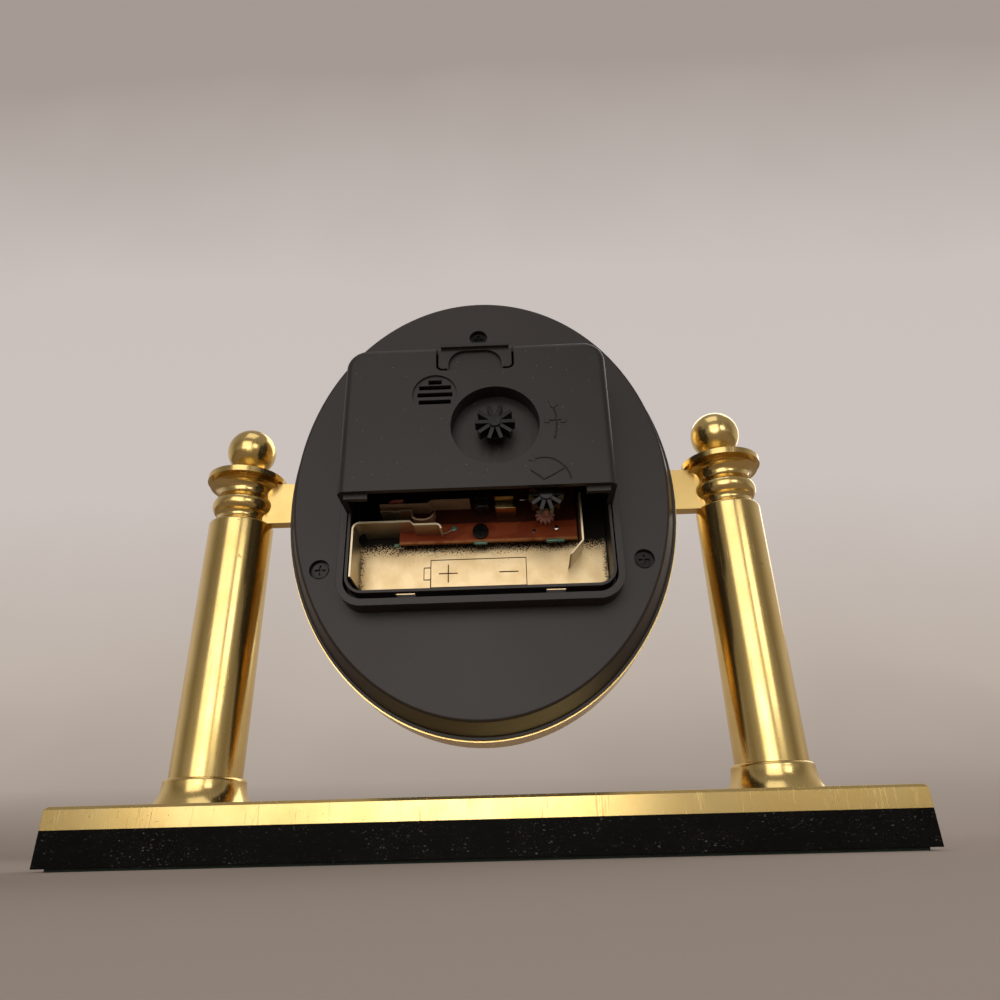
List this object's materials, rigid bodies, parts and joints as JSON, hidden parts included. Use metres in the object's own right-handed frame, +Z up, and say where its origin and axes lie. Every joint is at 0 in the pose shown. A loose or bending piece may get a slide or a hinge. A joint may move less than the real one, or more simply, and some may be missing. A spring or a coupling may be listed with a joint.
{
  "type": "desk clock",
  "caption": "Oval alarm clock head hung between turned brass columns on a black stone base, seen with its battery bay open at the back.",
  "frame": {"origin": "middle of the underside of the base, on the surface it stands on", "axes": "+Z up, -Y the way the dial faces, +X to the right of someone who looks at the dial"},
  "size_m": [0.1484, 0.0484, 0.128],
  "materials": {
    "felt": "short felt, matt",
    "stone": "black flecked stone, polished faces",
    "polished_brass": "polished brass with fine scratches and tarnish",
    "case_brass": "polished brass plating",
    "strap_brass": "plain brass bar",
    "steel": "zinc-plated steel",
    "dark_steel": "blackened steel",
    "glass": "clear flat glass",
    "ring_brass": "satin brass",
    "dial_white": "printed off-white dial",
    "support_plastic": "plain moulded plastic",
    "cover_plastic": "moulded black plastic, satin, dusty",
    "movement_plastic": "moulded black plastic, satin",
    "knob_plastic": "moulded black plastic, semi-gloss",
    "hub_brass": "turned brass",
    "bay_gold": "gold-coloured sheet with dark speckled edge",
    "board": "red-brown lacquered circuit board",
    "chip_resin": "black resin blob",
    "can_metal": "bright plated can",
    "soft_iron": "bare soft iron sheet",
    "copper_wire": "lacquered copper winding",
    "sounder_brass": "brass disc in its holder",
    "contact_nickel": "nickel-plated spring strip",
    "lever_copper": "copper-coloured spring strip",
    "gear_white": "natural moulded gear plastic",
    "gear_pink": "pink moulded gear plastic",
    "gear_steel": "steel tube and arbor",
    "magnet": "sintered magnet",
    "hand_black": "black lacquer",
    "hand_brass": "thin stamped brass"
  },
  "bodies": {
    "clock_frame": {"base_felt": "felt", "base_slab": "stone", "base_plate": "polished_brass", "column_foot_left": "polished_brass", "column_tube_left": "polished_brass", "column_cap_left": "polished_brass", "finial_left": "polished_brass", "column_foot_right": "polished_brass", "column_tube_right": "polished_brass", "column_cap_right": "polished_brass", "finial_right": "polished_brass", "tie_rods": "steel", "tie_rod_nuts": "steel", "tie_rod_washers": "steel", "head_strap_left": "strap_brass", "head_strap_right": "strap_brass", "strap_pins": "steel", "front_case": "case_brass", "dial_glass": "glass", "dial_ring": "ring_brass", "dial": "dial_white", "dial_support": "support_plastic", "back_cover": "cover_plastic", "back_cover_screws": "dark_steel", "movement_cover": "movement_plastic", "movement_front_plate": "movement_plastic", "hub_washer": "hub_brass", "hub_nut": "hub_brass", "movement_frame": "movement_plastic", "bay_floor": "bay_gold", "circuit_board": "board", "board_screw": "dark_steel", "chip": "chip_resin", "crystal_can": "can_metal", "switch_lever": "lever_copper", "sounder": "sounder_brass", "contact_plus": "contact_nickel", "contact_minus": "contact_nickel", "stator": "soft_iron", "coil_core": "soft_iron", "coil": "copper_wire"},
    "second_arbor": {"second_wheel": "gear_white", "second_hand": "hand_brass"},
    "third_arbor": {"third_wheel": "gear_white"},
    "centre_arbor": {"centre_wheel": "gear_white"},
    "idle_arbor": {"idle_wheel": "gear_white"},
    "motor_rotor": {"rotor": "gear_steel", "rotor_magnet": "magnet"},
    "minute_tube": {"cannon_pinion": "gear_steel", "minute_hand": "hand_black"},
    "hour_tube": {"hour_wheel": "gear_white", "hour_hand": "hand_black"},
    "time_setting": {"time_set_arbor": "gear_white", "time_set_knob": "knob_plastic"},
    "alarm_tube": {"alarm_wheel": "gear_white", "alarm_hand": "hand_brass"},
    "alarm_setting": {"alarm_set_arbor": "gear_pink", "alarm_set_knob": "knob_plastic"},
    "alarm_relay_arbor": {"alarm_relay": "gear_white"}
  },
  "joints": [
    {"name": "second_spin", "type": "hinge", "parent": "clock_frame", "child": "second_arbor", "pos_m": [0, 0, 0.0744], "axis": [0, 1, 0], "continuous": true},
    {"name": "third_spin", "type": "hinge", "parent": "clock_frame", "child": "third_arbor", "pos_m": [0.00239, 0, 0.06782], "axis": [0, 1, 0], "continuous": true},
    {"name": "centre_spin", "type": "hinge", "parent": "clock_frame", "child": "centre_arbor", "pos_m": [0, 0, 0.0744], "axis": [0, 1, 0], "continuous": true},
    {"name": "idle_spin", "type": "hinge", "parent": "clock_frame", "child": "idle_arbor", "pos_m": [0.00554, 0, 0.0776], "axis": [0, 1, 0], "continuous": true},
    {"name": "rotor_spin", "type": "hinge", "parent": "clock_frame", "child": "motor_rotor", "pos_m": [0.00851, 0, 0.08274], "axis": [0, 1, 0], "continuous": true},
    {"name": "minute_spin", "type": "hinge", "parent": "clock_frame", "child": "minute_tube", "pos_m": [0, 0, 0.0744], "axis": [0, 1, 0], "continuous": true},
    {"name": "hour_spin", "type": "hinge", "parent": "clock_frame", "child": "hour_tube", "pos_m": [0, 0, 0.0744], "axis": [0, 1, 0], "continuous": true},
    {"name": "time_set_spin", "type": "hinge", "parent": "clock_frame", "child": "time_setting", "pos_m": [-0.00402, 0, 0.08073], "axis": [0, 1, 0], "continuous": true},
    {"name": "alarm_spin", "type": "hinge", "parent": "clock_frame", "child": "alarm_tube", "pos_m": [0, 0, 0.0744], "axis": [0, 1, 0], "continuous": true},
    {"name": "alarm_set_spin", "type": "hinge", "parent": "clock_frame", "child": "alarm_setting", "pos_m": [-0.01383, 0, 0.0656], "axis": [0, 1, 0], "continuous": true},
    {"name": "relay_spin", "type": "hinge", "parent": "clock_frame", "child": "alarm_relay_arbor", "pos_m": [-0.01383, 0, 0.0704], "axis": [0, 1, 0], "continuous": true}
  ],
  "couplings": [
    {"joint": "third_spin", "follows": "second_spin", "ratio": -0.1},
    {"joint": "centre_spin", "follows": "second_spin", "ratio": 0.016667},
    {"joint": "idle_spin", "follows": "second_spin", "ratio": -3},
    {"joint": "rotor_spin", "follows": "second_spin", "ratio": 30},
    {"joint": "hour_spin", "follows": "minute_spin", "ratio": 0.083333},
    {"joint": "time_set_spin", "follows": "minute_spin", "ratio": -0.33333},
    {"joint": "relay_spin", "follows": "alarm_spin", "ratio": -7},
    {"joint": "alarm_set_spin", "follows": "alarm_spin", "ratio": 11.667}
  ]
}
